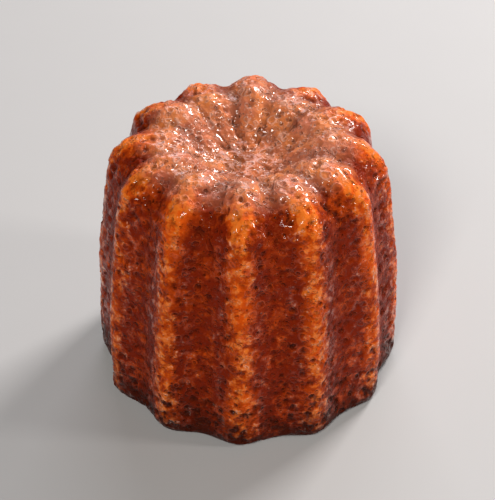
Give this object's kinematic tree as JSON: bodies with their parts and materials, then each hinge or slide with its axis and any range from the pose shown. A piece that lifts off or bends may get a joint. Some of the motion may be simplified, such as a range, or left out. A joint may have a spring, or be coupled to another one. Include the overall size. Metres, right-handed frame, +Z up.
{
  "type": "canele",
  "caption": "Small fluted baked cake: barrel-shaped with round ribs down the side, a scalloped rim round a dished top, a flat base and a dark caramelised crust.",
  "frame": {"origin": "middle of the flat base, at the centre of the cake's box in plan", "axes": "+Z up from the flat base to the dished top; the picture's camera looks along +Y from the -Y side, with +X to the right"},
  "size_m": [0.055, 0.055, 0.05],
  "materials": {
    "caramel_crust": null
  },
  "bodies": {
    "root": {"canele": "caramel_crust"}
  },
  "joints": []
}
